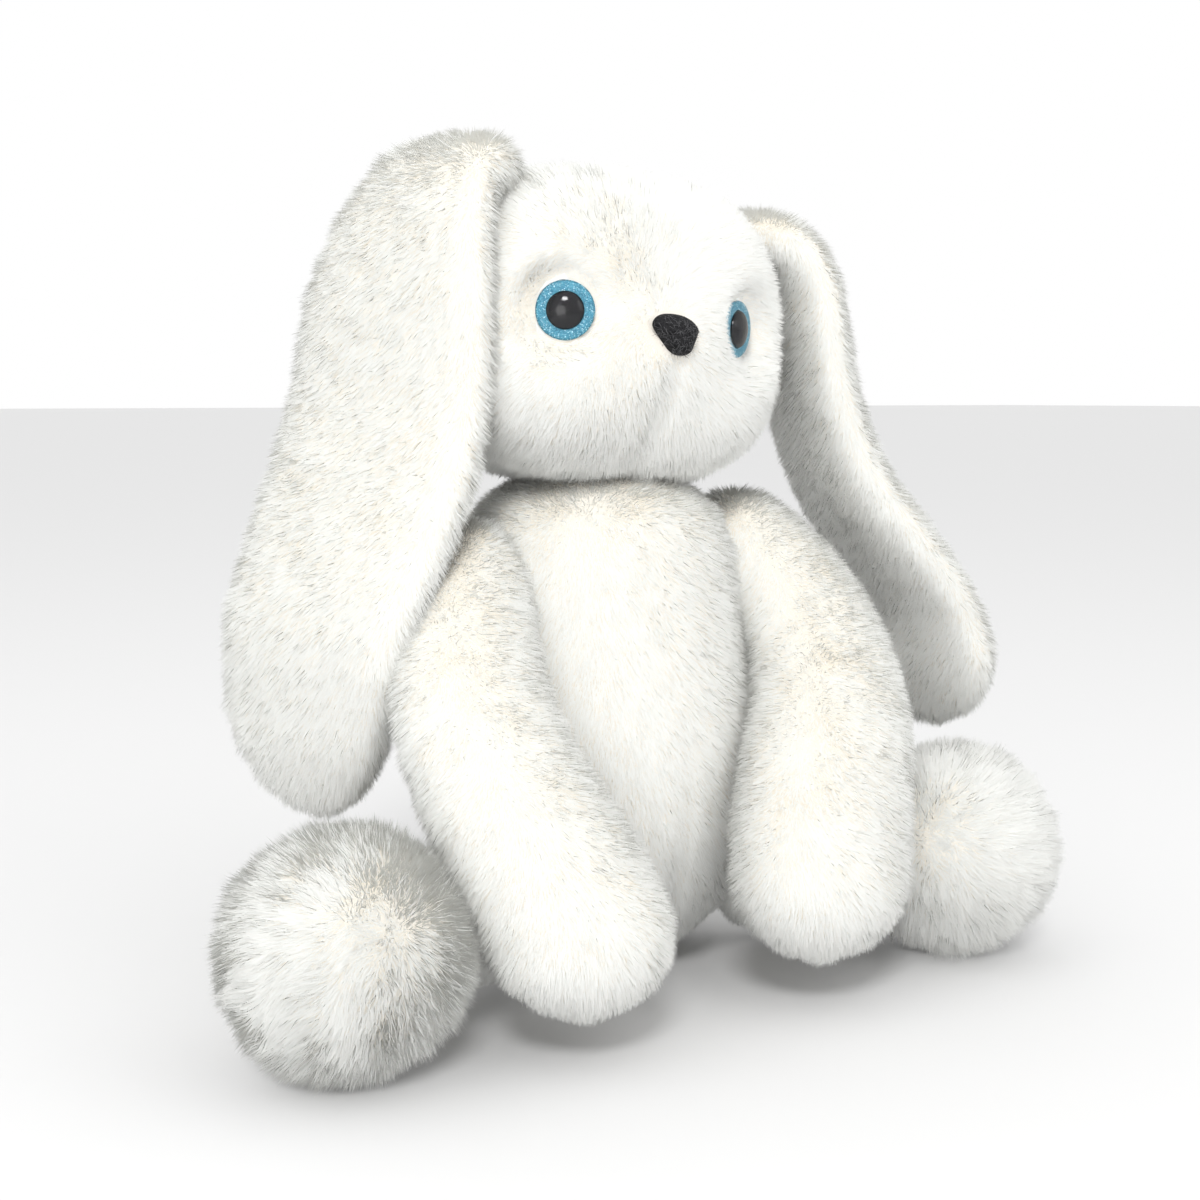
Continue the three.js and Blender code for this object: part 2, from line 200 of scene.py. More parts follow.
# ---------------------------------------------------------------- pieces
def mesh_piece(name, points, faces, material, smooth=True):
    mesh = bpy.data.meshes.new(name)
    mesh.vertices.add(len(points))
    mesh.vertices.foreach_set("co", (np.asarray(points) * MM).astype(np.float32).ravel())
    faces = np.ascontiguousarray(faces, np.int32)
    mesh.loops.add(faces.size)
    mesh.loops.foreach_set("vertex_index", faces.ravel())
    mesh.polygons.add(len(faces))
    mesh.polygons.foreach_set("loop_start", np.arange(len(faces), dtype=np.int32) * faces.shape[1])
    mesh.polygons.foreach_set("use_smooth", np.full(len(faces), smooth))
    mesh.materials.append(material)
    mesh.update(calc_edges=True)
    piece = bpy.data.objects.new(name, mesh)
    bpy.context.scene.collection.objects.link(piece)
    return piece


# ---------------------------------------------------------------- materials
def principled(name, color, roughness, **more):
    material = bpy.data.materials.new(name)
    material.use_nodes = True
    shader = material.node_tree.nodes["Principled BSDF"]
    shader.inputs["Base Color"].default_value = (*color, 1)
    shader.inputs["Roughness"].default_value = roughness
    for key, value in more.items():
        shader.inputs[key.replace("_", " ")].default_value = value
    return material, material.node_tree, shader


def node(tree, kind, **inputs):
    made = tree.nodes.new(kind)
    for key, value in inputs.items():
        made.inputs[key].default_value = value
    return made


def texture_place(tree):
    return tree.nodes.new("ShaderNodeTexCoord").outputs["Object"]


def noise(tree, scale, detail=4.0):
    made = node(tree, "ShaderNodeTexNoise", Scale=scale, Detail=detail)
    tree.links.new(texture_place(tree), made.inputs["Vector"])
    return made.outputs["Fac"]


def ramp(tree, source, stops):
    made = tree.nodes.new("ShaderNodeValToRGB")
    elements = made.color_ramp.elements
    while len(elements) < len(stops):
        elements.new(0.5)
    for element, (position, color) in zip(elements, stops):
        element.position = position
        element.color = (*color, 1)
    tree.links.new(source, made.inputs["Fac"])
    return made.outputs["Color"]


def spread(tree, source, low, high):
    """source, between 0 and 1, as a value between low and high."""
    made = tree.nodes.new("ShaderNodeMapRange")
    made.inputs["To Min"].default_value = low
    made.inputs["To Max"].default_value = high
    tree.links.new(source, made.inputs["Value"])
    return made.outputs["Result"]


def bump(tree, shader, source, strength, distance):
    made = node(tree, "ShaderNodeBump", Strength=strength, Distance=distance)
    tree.links.new(source, made.inputs["Height"])
    tree.links.new(made.outputs["Normal"], shader.inputs["Normal"])


def pile_material(name, color, roughness):
    """Polyester pile: a steady colour, with a shine that changes from lock to lock."""
    material, tree, shader = principled(name, color, roughness, Specular_IOR_Level=0.2)
    shine = spread(tree, noise(tree, 420.0, 2.0), roughness - 0.18, roughness + 0.12)
    tree.links.new(shine, shader.inputs["Roughness"])
    return material


def backing_material():
    """The knitted backing that the pile grows out of, tinted a darker, warmer beige than the white pile as
    painted crease shade where the pile parts, with a random mottle of its own.
    """
    material, tree, shader = principled("backing_mottle_and_crease_shade", (0.8, 0.77, 0.7), 0.9)
    # The beige tones are painted crease shade: the backing is darker and warmer than the pile, so it reads as
    # shade wherever the pile parts.
    tint = ramp(tree, noise(tree, 60.0), [(0.3, (0.80, 0.75, 0.66)), (0.7, (0.88, 0.85, 0.79))])
    tree.links.new(tint, shader.inputs["Base Color"])
    bump(tree, shader, noise(tree, 900.0, 2.0), 0.5, 0.0006)
    return material


PILE_TONES = [
    pile_material("pile_bright", (0.86, 0.87, 0.85), 0.5),
    pile_material("pile_soft", (0.85, 0.856, 0.832), 0.7),
    pile_material("pile_warm", (0.84, 0.835, 0.805), 0.7),
]
BACKING = backing_material()


# ---------------------------------------------------------------- pile
PILE_DENSITY = 4.2  # fibres to a square millimetre
PILE_LENGTH = 5.4
PILE_WIDTH = 0.4
SHAGGY_LENGTH = 8.0
ROOT_DEPTH = 0.5  # how far under the skin a fibre starts
STRAY_LEAN = 0.16  # how unevenly single fibres lean, and how far they point their own way
STRAY_WAY = 0.12
LOWEST_PILE = 0.15
PRESSED_UNDER = 0.6  # pile below this height is pressed flat against what the rabbit sits on
FIBRE_RELIEF = 0.3  # how far each fibre's shading turns from the form's own towards the fibre's


def roots_on(points, faces, normals, count, rng, thin=None):
    """Even random places on a form, with the form's normals there."""
    a, b, c = (points[faces[:, index]] for index in range(3))
    area = np.linalg.norm(np.cross(b - a, c - a), axis=1)
    chosen = rng.choice(len(faces), count, p=area / area.sum())
    first, second = rng.random((2, count, 1))
    over = first + second > 1
    first, second = np.where(over, 1 - first, first), np.where(over, 1 - second, second)
    weights = (1 - first - second, first, second)
    places = sum(w * points[faces[chosen, i]] for i, w in enumerate(weights))
    facing = unit(sum(w * normals[faces[chosen, i]] for i, w in enumerate(weights)))
    if thin is not None:
        kept = rng.random(count) < thin(places, facing)
        places, facing = places[kept], facing[kept]
    return places, facing


def nearest(places, among):
    """For each place, which of the places in among is nearest."""
    tree = KDTree(len(among))
    for index, place in enumerate(among):
        tree.insert(place, index)
    tree.balance()
    return np.array([tree.find(place)[1] for place in places], int)


def grow_pile(name, form, body, comb, seed, density=PILE_DENSITY, length=PILE_LENGTH, width=PILE_WIDTH,
              lean=0.85, clump=0.2, thin=None, tousle=0.13, per_clump=14):
    """Tapered fibres over a form, gathered into locks and combed along comb(places, normals)."""
    points, faces, normals = form
    rng = np.random.default_rng(seed)
    a, b, c = (points[faces[:, index]] for index in range(3))
    area = np.linalg.norm(np.cross(b - a, c - a), axis=1).sum() / 2
    places, facing = roots_on(points, faces, normals, int(area * density), rng, thin)
    count = len(places)

    swirl = wander(places, 18, seed + 1) * tousle + wander(places, 6, seed + 2) * tousle * 0.8
    along = comb(places, facing) + swirl
    along = unit(along - facing * np.einsum("ij,ij->i", along, facing)[:, None])
    leans = lean * (1 + tousle * wander(places, 9, seed + 3)[:, :1]) + rng.normal(0, STRAY_LEAN, (count, 1))
    rise = unit(facing + along * leans + rng.normal(0, STRAY_WAY, (count, 3)))
    reach = length(places, facing) if callable(length) else length
    reach = reach * (1 + 0.12 * wander(places, 12, seed + 4)[:, 0]) * rng.uniform(0.6, 1.15, count)

    start = places - facing * ROOT_DEPTH
    tip = start + rise * reach[:, None]
    leaders = rng.choice(count, max(count // per_clump, 1), replace=False)
    leader = leaders[nearest(places, places[leaders])]
    tip = tip + (tip[leader] - tip) * clump * rng.uniform(0.3, 1.2, (count, 1))
    start, tip = settled(start), settled(tip)

    across = np.cross(rise, facing) + rng.normal(0, 0.3, (count, 3))
    across = unit(across - rise * np.einsum("ij,ij->i", across, rise)[:, None])
    wide = across * width * rng.uniform(0.7, 1.3, (count, 1)) / 2
    turned = np.einsum("ij,ij->i", np.cross(tip - start, wide), facing) < 0
    wide[turned] *= -1
    fibres = np.stack([start + wide, start - wide, tip], 1)
    own = unit(np.cross(wide, start - tip))
    shading = np.repeat(unit(facing + own * FIBRE_RELIEF), 3, 0)
    tone = rng.integers(0, len(PILE_TONES), count)
    for index, material in enumerate(PILE_TONES):
        mine = fibres[tone == index].reshape(-1, 3)
        piece = mesh_piece(f"{name}_pile_{index + 1}", mine, np.arange(len(mine)).reshape(-1, 3), material)
        piece.data.normals_split_custom_set_from_vertices(shading[np.repeat(tone == index, 3)])
        piece.visible_shadow = False
        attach(piece, body)


def settled(points):
    """Points kept above the surface that the rabbit sits on, pressed flat where they'd go below."""
    points = points.copy()
    low = points[:, 2] < PRESSED_UNDER
    pressed = np.exp((points[low, 2] - PRESSED_UNDER) / 4)
    points[low, 2] = LOWEST_PILE + (PRESSED_UNDER - LOWEST_PILE) * pressed
    return points


def downwards(places, facing):
    return np.tile(-UP, (len(places), 1))


def skin(name, form, body, stands_for):
    points, faces, _ = form
    piece = mesh_piece(name, points, faces, BACKING)
    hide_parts(*stands_for)
    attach(piece, body)
    return piece


def finished(points, faces):
    faces, normals = outward(points, faces)
    return points, faces, normals


# ---------------------------------------------------------------- head
PILE_REST = 3.0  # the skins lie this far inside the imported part's fur
FOOT_REST = 5.0  # the same for the longer pile of the feet
TAIL_REST = 6.0
head_low, head_high = box("head_shell")
HEAD_MIDDLE = (head_low + head_high) / 2
HEAD_HALF = (head_high - head_low) / 2 - PILE_REST
HEAD_TILT = math.radians(4)
eye_middles = {side: middle(f"eye_{side}_iris") for side in SIDES}
eye_looks = {side: unit(middle(f"eye_{side}_lens") - eye_middles[side]) for side in SIDES}
EYE_RADIUS = np.ptp(corners("eye_right_iris")[:, 2]) / 2
nose_low, nose_high = box("nose_cap")
NOSE_SHIFT = np.array([-1.0, -2.5, 0.0])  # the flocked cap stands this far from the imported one
NOSE_FRONT = np.array([(nose_low[0] + nose_high[0]) / 2, nose_low[1], (nose_low[2] + nose_high[2]) / 2])
NOSE_FRONT = NOSE_FRONT + NOSE_SHIFT
NOSE_BULGE = 6.0
CHIN_SEAM = 3.2  # the half width and the depth of the seam from the nose to the chin
PUPIL_SHARE = 0.65
BARE_RIM = 0.4  # no pile grows this close to an eye
EYE_DOME = 3.6
PUPIL_DOME = 2.6


def head_form():
    rows, turns = 72, 96
    angle = -math.pi / 2 + shares_to(rows) * math.pi
    side_power, plan_power = 2.9, 3.2
    height = np.sign(np.sin(angle)) * np.abs(np.sin(angle)) ** (2 / side_power)
    radius = np.abs(np.cos(angle)) ** (2 / side_power)
    plan = ring(turns, 2.0)
    around = np.arange(turns) * 2 * math.pi / turns
    powers = np.abs(np.cos(around)) ** plan_power + np.abs(np.sin(around)) ** plan_power
    plan = plan * (powers ** (-1 / plan_power))[:, None]
    rings = np.concatenate(
        [radius[:, None, None] * plan[None], np.broadcast_to(height[:, None, None], (rows, turns, 1))], 2
    )
    points, faces = closed_form(rings)
    points = points * HEAD_HALF
    wide, deep, tall = HEAD_HALF
    points = pushed(
        points,
        [
            ((-wide * 0.45, -deep * 0.8, -tall * 0.5), (24, 26, 22), (-1.5, -4.5, -2.5)),
            ((wide * 0.45, -deep * 0.8, -tall * 0.5), (24, 26, 22), (1.5, -4.5, -2.5)),
            ((0, -deep, -tall * 0.12), (19, 24, 19), (0, -7.5, 0)),
            ((wide, -deep * 0.5, -tall * 0.1), (30, 30, 40), (5.0, -1.0, 0)),
            ((-wide, -deep * 0.5, -tall * 0.1), (30, 30, 40), (-5.0, -1.0, 0)),
            ((0, -deep, tall * 0.55), (34, 22, 18), (0, 1.5, 0)),
        ],
    )
    in_front = smoothstep((-points[:, 1] - deep * 0.3) / (deep * 0.4))
    seam = np.exp(-((points[:, 0] / CHIN_SEAM) ** 2)) * in_front
    below_nose = smoothstep((-tall * 0.08 - points[:, 2]) / (tall * 0.25))
    points[:, 1] += CHIN_SEAM * seam * below_nose
    lean = np.array([[math.cos(HEAD_TILT), 0, math.sin(HEAD_TILT)], [0, 1, 0],
                     [-math.sin(HEAD_TILT), 0, math.cos(HEAD_TILT)]])
    points = points @ lean.T + HEAD_MIDDLE
    for side in SIDES:
        points = seated(points, eye_middles[side], eye_looks[side], EYE_RADIUS + 1.0, sunk=0.8)
    return finished(points, faces)


def seated(points, place, look, radius, sunk):
    """Points pressed back behind a fitted disc so that it rests on them."""
    away = points - place
    height = away @ look
    across = np.linalg.norm(away - height[:, None] * look, axis=1)
    pressed = smoothstep(1 - (across - radius) / (radius * 0.9))
    above = np.clip(height + sunk, 0, None) * (height < 30) * (height > -20)
    return points - (pressed * above)[:, None] * look


def from_eye(places, side):
    away = places - eye_middles[side]
    height = away @ eye_looks[side]
    flat = away - height[:, None] * eye_looks[side]
    near = (height > -12) & (height < 25)
    return np.where(near, np.linalg.norm(flat, axis=1), 1e3), unit(flat)


def from_nose(places):
    away = places - NOSE_FRONT
    half = (nose_high - nose_low) / 2
    flat = away * [1, 0, 1]
    size = np.linalg.norm(flat / [half[0], 1, half[2]], axis=1)
    near = places[:, 1] < HEAD_MIDDLE[1]
    return np.where(near, size, 1e3), unit(flat)


def face_comb(places, facing):
    """The pile flows back from the nose and away from the eyes, and down over the cheeks."""
    away = unit(places - (NOSE_FRONT + [0, 6, 6]))
    flow = away * 0.8 - UP * 0.55
    for side in SIDES:
        distance, direction = from_eye(places, side)
        above = 0.25 + smoothstep(direction[:, 2] + 0.4)
        flow = flow + direction * (np.exp(-(((distance - EYE_RADIUS) / 5) ** 2)) * above)[:, None]
    distance, direction = from_nose(places)
    return flow + direction * np.exp(-(((distance - 1) / 0.5) ** 2))[:, None] * 1.6


def face_length(places, facing):
    reach = np.full(len(places), PILE_LENGTH)
    for side in SIDES:
        distance, direction = from_eye(places, side)
        kept = 0.4 + 0.35 * smoothstep(0.3 - direction[:, 2])
        reach *= kept + (1 - kept) * smoothstep((distance - EYE_RADIUS) / 9)
    distance, _ = from_nose(places)
    return reach * (0.45 + 0.55 * smoothstep((distance - 1) / 0.8))


def face_cover(places, facing):
    cover = np.ones(len(places))
    for side in SIDES:
        distance, _ = from_eye(places, side)
        cover *= distance > EYE_RADIUS + BARE_RIM
    distance, _ = from_nose(places)
    return cover * (distance > 1.02)


def make_head():
    form = head_form()
    skin("head_skin", form, "head", ["head_shell"])
    grow_pile("head", form, "head", face_comb, SEED + 10, length=face_length, thin=face_cover)


# ---------------------------------------------------------------- torso
torso_low, torso_high = box("torso_shell")
TORSO_RADIUS = (torso_high[0] - torso_low[0]) / 2
NECK_HEIGHT = joint_place("head_nod")[2]
# The torso from its seat up, as [share of the neck's height, share of its greatest radius].
TORSO_OUTLINE = [
    [0.0, 0.50], [0.05, 0.70], [0.15, 0.885], [0.28, 0.98], [0.44, 1.02], [0.6, 1.01], [0.75, 0.94],
    [0.89, 0.86], [1.0, 0.79], [1.12, 0.68], [1.2, 0.58],
]
SEAT_BACK = 18
SHOULDER_SPREAD = 0.14  # how much wider than round the torso is where the arms join it
SHOULDER_REACH = 24
BELLY_SEAM_WIDTH = 2.6
BELLY_SEAM_DEPTH = 1.8
BELLY_SEAM_TOP = 95


def torso_form():
    rows, turns = 72, 96
    shares = shares_to(rows)
    height_share = shares * TORSO_OUTLINE[-1][0]
    radius = eased(TORSO_OUTLINE, height_share)[:, 0] * TORSO_RADIUS - PILE_REST
    radius *= round_ends(shares, 0.035, 0.12)
    height = height_share * NECK_HEIGHT
    plan = ring(turns)
    rings = np.empty((rows, turns, 3))
    rings[:, :, 0] = radius[:, None] * plan[None, :, 0]
    rings[:, :, 1] = radius[:, None] * plan[None, :, 1]
    rings[:, :, 2] = height[:, None]
    points, faces = closed_form(rings)
    belly = NECK_HEIGHT * 0.39
    points[:, 1] += SEAT_BACK * np.clip(1 - points[:, 2] / belly, 0, None) ** 2
    shoulders = np.exp(-(((points[:, 2] - NECK_HEIGHT) / SHOULDER_REACH) ** 2))
    points[:, 0] *= 1 + SHOULDER_SPREAD * shoulders
    points[:, 2] = np.maximum(points[:, 2], 0.4)
    seam = np.exp(-((points[:, 0] / BELLY_SEAM_WIDTH) ** 2)) * smoothstep(-points[:, 1] / 30)
    low_part = smoothstep((BELLY_SEAM_TOP - points[:, 2]) / 50)
    points[:, 1] += BELLY_SEAM_DEPTH * seam * low_part
    return finished(points, faces)


def make_torso():
    form = torso_form()
    skin("torso_skin", form, "torso", ["torso_shell"])
    grow_pile("torso", form, "torso", downwards, SEED + 20)


# ---------------------------------------------------------------- limbs and ears
def swept_form(knots, rows=72, turns=48, squareness=2.0, ends=(0.1, 0.1), across=None, spots=()):
    """A closed form along a curve. knots are rows of [x, y, z, half width across, half thickness]."""
    knots = np.array(knots, float)
    steps = np.linalg.norm(np.diff(knots[:, :3], axis=0), axis=1)
    place = np.concatenate([[0], np.cumsum(steps)])
    place /= place[-1]
    shares = shares_to(rows)
    across = np.broadcast_to(np.array(across, float), (len(knots), 3))
    table = np.concatenate([place[:, None], knots, across], 1)
    row = eased(table, shares)
    step = 0.004
    ahead = eased(table, np.clip(shares + step, 0, 1))[:, :3]
    behind = eased(table, np.clip(shares - step, 0, 1))[:, :3]
    tangent = unit(ahead - behind)
    wanted = row[:, 5:8]
    side = unit(wanted - tangent * np.einsum("ij,ij->i", tangent, wanted)[:, None])
    thick = np.cross(tangent, side)
    plan = ring(turns, squareness)
    cap = round_ends(shares, *ends)
    rings = (
        row[:, None, :3]
        + plan[None, :, :1] * side[:, None] * (row[:, 3] * cap)[:, None, None]
        + plan[None, :, 1:] * thick[:, None] * (row[:, 4] * cap)[:, None, None]
    )
    points, faces = closed_form(rings)
    return finished(pushed(points, spots), faces)


# Each arm as [out, back, up] from its shoulder, then half width and half thickness.
ARM_KNOTS = {
    "right": [
        [-7, 8, 10, 19, 17], [2, -4, -2, 22, 18], [13, -22, -20, 24, 18], [20, -40, -42, 26, 19],
        [19, -54, -62, 27, 21], [15, -67, -80, 28, 22], [9, -77, -98, 29, 23], [3, -86, -117, 28, 23],
        [1, -90, -134, 25, 21],
    ],
    "left": [
        [-9, 10, 16, 19, 17], [2, -4, 4, 22, 18], [11, -20, -12, 24, 18], [13, -38, -34, 27, 19],
        [6, -54, -55, 29, 22], [-5, -66, -75, 31, 23], [-15, -76, -95, 32, 23], [-23, -84, -114, 30, 23],
        [-27, -89, -131, 26, 21],
    ],
}


def make_arm(name, side):
    shoulder = joint_place(f"arm_{name}_swing")
    knots = [
        [*(shoulder + [side * out, back, up]), half, thick] for out, back, up, half, thick in ARM_KNOTS[name]
    ]
    form = swept_form(knots, ends=(0.12, 0.12), across=[1, 0, 0])
    points, faces, _ = form
    form = finished(np.maximum(points, [-1e3, -1e3, 0.8]), faces)
    skin(f"arm_{name}_skin", form, f"arm_{name}", [f"arm_{name}_shell"])
    grow_pile(f"arm_{name}", form, f"arm_{name}", downwards, SEED + 30 + side)


def make_leg(name, side):
    hip = joint_place(f"leg_{name}_swing")
    foot_low, foot_high = box(f"foot_{name}_shell")
    foot = (foot_low + foot_high) / 2
    radius = (foot_high[0] - foot_low[0]) / 2 - FOOT_REST
    way = unit(foot - hip)
    knots = [
        [*(hip - way * 22), 21, 21], [*hip, 23, 23], [*(hip + way * 24), 22, 22],
        [*(hip + way * 48), 24, 24], [*(foot - way * 18), 26, 26],
    ]
    form = swept_form(knots, ends=(0.2, 0.15), across=UP)
    skin(f"leg_{name}_skin", form, f"leg_{name}", [f"leg_{name}_shell"])
    grow_pile(f"leg_{name}", form, f"leg_{name}", downwards, SEED + 40 + side, density=PILE_DENSITY * 0.7)
    make_foot(name, side, foot, radius)


def make_foot(name, side, foot, radius):
    points, faces = unit_ball(56, 72)
    points = points * radius + foot
    points = points + unit(points - foot) * wander(points, 38, SEED + 50 + side)[:, :1] * 0.9
    form = finished(points, faces)
    skin(f"foot_{name}_skin", form, f"leg_{name}", [f"foot_{name}_shell"])

    def foot_comb(places, facing):
        return np.tile(np.array([side, 0, -0.45]), (len(places), 1))

    grow_pile(f"foot_{name}", form, f"leg_{name}", foot_comb, SEED + 60 + side, length=SHAGGY_LENGTH,
              lean=0.5, tousle=0.3, clump=0.3, per_clump=24)


EAR_REST = 2.0  # an ear's skin is this much thinner, each way, than its knots say
EAR_TURN = 20  # degrees that each ear is turned about the upright line through its root
# Each ear's middle line before that turn, as [out, up, back], then half width, half thickness and its
# own turn in degrees.
EAR_KNOTS = {
    "right": [
        [32, 262, 4, 20, 7, 5], [44, 276, 4, 24, 9, 6], [55, 287, 4, 27, 11, 8], [66, 286, 3, 30, 12, 12],
        [74, 273, 5, 35, 12, 16], [79, 250, 9, 41, 12, 20], [83, 209, 14, 45, 12, 22],
        [92, 181, 15, 45, 12, 24], [102, 157, 18, 44, 12, 24], [111, 131, 22, 42, 12, 22],
        [110, 105, 28, 38, 12, 20], [105, 68, 33, 33, 11, 20],
    ],
    "left": [
        [32, 246, 8, 20, 7, 5], [48, 259, 8, 25, 9, 6], [61, 268, 6, 29, 11, 8], [75, 266, 6, 34, 12, 12],
        [85, 255, 8, 39, 12, 16], [91, 238, 11, 43, 12, 20], [99, 207, 13, 44, 12, 22],
        [110, 179, 13, 44, 12, 20], [127, 153, 13, 43, 12, 14], [142, 128, 13, 42, 12, 8],
        [149, 100, 13, 41, 12, 4], [151, 80, 13, 38, 11, 4],
    ],
}


def ear_knots(name, side):
    root = joint_place(f"ear_{name}_lift")
    turn = math.radians(EAR_TURN)
    found, across = [], []
    for out, up, back, half, thick, own_turn in EAR_KNOTS[name]:
        ahead, beyond = back - root[1], out - abs(root[0])
        out_here = abs(root[0]) + beyond * math.cos(turn) + ahead * math.sin(turn)
        back_here = root[1] - beyond * math.sin(turn) + ahead * math.cos(turn)
        found.append([side * out_here, back_here, up, half - PILE_REST, thick - EAR_REST])
        across.append([side * math.sin(math.radians(own_turn)), math.cos(math.radians(own_turn)), 0])
    return found, across


def make_ear(name, side):
    knots, across = ear_knots(name, side)
    form = swept_form(knots, rows=110, turns=64, squareness=2.7, ends=(0.05, 0.12), across=across)
    stands_for = [f"ear_{name}_outer_panel", f"ear_{name}_wadding", f"ear_{name}_lining"]
    skin(f"ear_{name}_skin", form, f"ear_{name}", stands_for)
    grow_pile(f"ear_{name}", form, f"ear_{name}", downwards, SEED + 70 + side)


def make_tail():
    low, high = box("tail_pompom")
    place = np.array([0, high[1] - (high[2] - low[2]) / 2, (low[2] + high[2]) / 2])
    radius = (high[2] - low[2]) / 2 - TAIL_REST
    points, faces = unit_ball(32, 48)
    form = finished(points * radius + place, faces)
    skin("tail_skin", form, "torso", ["tail_pompom"])
    grow_pile("tail", form, "torso", downwards, SEED + 80, length=SHAGGY_LENGTH, lean=0.4, tousle=0.5)


# ---------------------------------------------------------------- eyes and nose
def glitter_material():
    material, tree, shader = principled("glitter_iris", (0.03, 0.3, 0.45), 0.35, Metallic=0.2)
    flakes = node(tree, "ShaderNodeTexVoronoi", Scale=3200.0)
    tree.links.new(texture_place(tree), flakes.inputs["Vector"])
    # The flakes take random blues, which are the glitter's own tones; the near-white top stop is painted
    # glints on flakes that catch the light.
    flake_tones_and_glints = [
        (0.0, (0.01, 0.1, 0.18)), (0.4, (0.04, 0.24, 0.36)),
        (0.75, (0.1, 0.37, 0.5)), (0.95, (0.7, 0.95, 1.0)),
    ]
    tint = ramp(tree, flakes.outputs["Color"], flake_tones_and_glints)
    tree.links.new(tint, shader.inputs["Base Color"])
    bump(tree, shader, flakes.outputs["Distance"], 0.4, 0.0002)
    return material


def gloss_black():
    material, tree, shader = principled("gloss_black", (0.004, 0.004, 0.006), 0.12)
    tree.links.new(spread(tree, noise(tree, 300.0), 0.08, 0.18), shader.inputs["Roughness"])
    return material


def clear_plastic():
    material, _, _ = principled("clear_dome", (1, 1, 1), 0.02, Transmission_Weight=1.0, IOR=1.08)
    return material


def flock_material():
    material, tree, shader = principled("black_flock", (0.012, 0.012, 0.013), 0.85, Specular_IOR_Level=0.2)
    tint = ramp(tree, noise(tree, 1400.0), [(0.35, (0.005, 0.005, 0.006)), (0.75, (0.03, 0.03, 0.032))])
    tree.links.new(tint, shader.inputs["Base Color"])
    bump(tree, shader, noise(tree, 2200.0, 2.0), 0.6, 0.0004)
    return material


def turned_form(outline, place, look, turns=64):
    """A form turned about look from place. outline is rows of [radius, height]."""
    across = unit(np.cross(UP, look))
    upward = np.cross(look, across)
    plan = ring(turns)
    outline = np.array(outline, float)
    rings = (
        place
        + outline[:, 1, None, None] * look
        + outline[:, 0, None, None] * (plan[None, :, :1] * across + plan[None, :, 1:] * upward)
    )
    points, faces = closed_form(rings)
    return finished(points, faces)


def cap_outline(radius, base, height, rows=14):
    """A shallow dome from its rim at base up to its top at base + height."""
    angle = np.linspace(0, 0.98 * math.pi / 2, rows)
    return [[radius * math.cos(turn), base + height * math.sin(turn)] for turn in angle]


def make_eye(side, materials):
    glitter, black, clear = materials
    place, look = eye_middles[side], eye_looks[side]
    pupil = EYE_RADIUS * PUPIL_SHARE
    rim = EYE_RADIUS + 0.2
    parts = {
        "iris": ([[0.02, -0.5], [EYE_RADIUS, -0.5], [EYE_RADIUS, 0.3], [EYE_RADIUS * 0.93, 0.6], [pupil, 0.3],
                  [0.02, 0.3]], glitter, "blue_glitter"),
        "pupil": ([[0.02, 0.35], *cap_outline(pupil, 0.4, PUPIL_DOME)], black, "black_gloss"),
        "lens": ([[0.02, 0.32], [rim, 0.32], *cap_outline(rim, 0.6, EYE_DOME)], clear, "clear_lens"),
    }
    for part, (outline, material, finish) in parts.items():
        points, faces, _ = turned_form(outline, place, look)
        piece = mesh_piece(f"eye_{side}_{part}_look", points, faces, material)
        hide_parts(f"eye_{side}_{part}")
        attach(piece, "head")


def nose_form():
    half = (nose_high - nose_low) / 2
    rows, turns = 20, 64
    angle = np.linspace(0.02, math.pi / 2, rows)
    plan = ring(turns, 2.3)
    plan[:, 0] *= 1 - 0.3 * smoothstep(0.4 - plan[:, 1])
    plan[:, 1] = np.where(plan[:, 1] > 0, plan[:, 1] * 0.85, plan[:, 1])
    plan[:, 0] -= 0.22 * plan[:, 1]
    base = np.linspace(0.02, 1, 6)[:, None] * [1, 0]
    rim = np.concatenate([base, np.stack([np.cos(angle), np.sin(angle)], 1)])
    rings = np.zeros((len(rim), turns, 3))
    rings[:, :, 0] = rim[:, 0, None] * plan[None, :, 0] * half[0]
    rings[:, :, 2] = rim[:, 0, None] * plan[None, :, 1] * half[2]
    rings[:, :, 1] = -rim[:, 1, None] * NOSE_BULGE
    points, faces = closed_form(rings)
    level, lean = math.cos(HEAD_TILT), math.sin(HEAD_TILT)
    x = points[:, 0] * level + points[:, 2] * lean
    z = points[:, 2] * level - points[:, 0] * lean
    points = np.stack([x, points[:, 1], z], 1) + NOSE_FRONT + [0, NOSE_BULGE, 0]
    return finished(points, faces)


def make_nose():
    form = nose_form()
    points, faces, _ = form
    flock = flock_material()
    piece = mesh_piece("nose_look", points, faces, flock)
    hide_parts("nose_cap")
    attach(piece, "head")
    strand, _, _ = principled("flock_strands", (0.07, 0.07, 0.075), 0.6)
    rng = np.random.default_rng(SEED + 90)
    places, facing = roots_on(*form, 420, rng)
    front = facing[:, 1] < -0.2
    places, facing = places[front], facing[front]
    along = unit(np.cross(facing, rng.normal(size=(len(places), 3))) - UP * 0.4)
    tip = places + along * rng.uniform(1.2, 3.6, (len(places), 1)) + facing * 0.25
    wide = unit(np.cross(along, facing)) * 0.09
    strands = np.stack([places + facing * 0.12 + wide, places + facing * 0.12 - wide, tip], 1).reshape(-1, 3)
    piece = mesh_piece("nose_strands", strands, np.arange(len(strands)).reshape(-1, 3), strand)
    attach(piece, "head")


def make_face_fittings():
    materials = glitter_material(), gloss_black(), clear_plastic()
    for side in SIDES:
        make_eye(side, materials)
    make_nose()


# ---------------------------------------------------------------- hidden parts
def soft_filling(name, color, scale):
    material, tree, shader = principled(name, color, 0.95)
    shade = tuple(value * 0.86 for value in color)
    tint = ramp(tree, noise(tree, scale), [(0.3, shade), (0.7, color)])
    tree.links.new(tint, shader.inputs["Base Color"])
    bump(tree, shader, noise(tree, scale * 4), 0.6, 0.001)
    return material


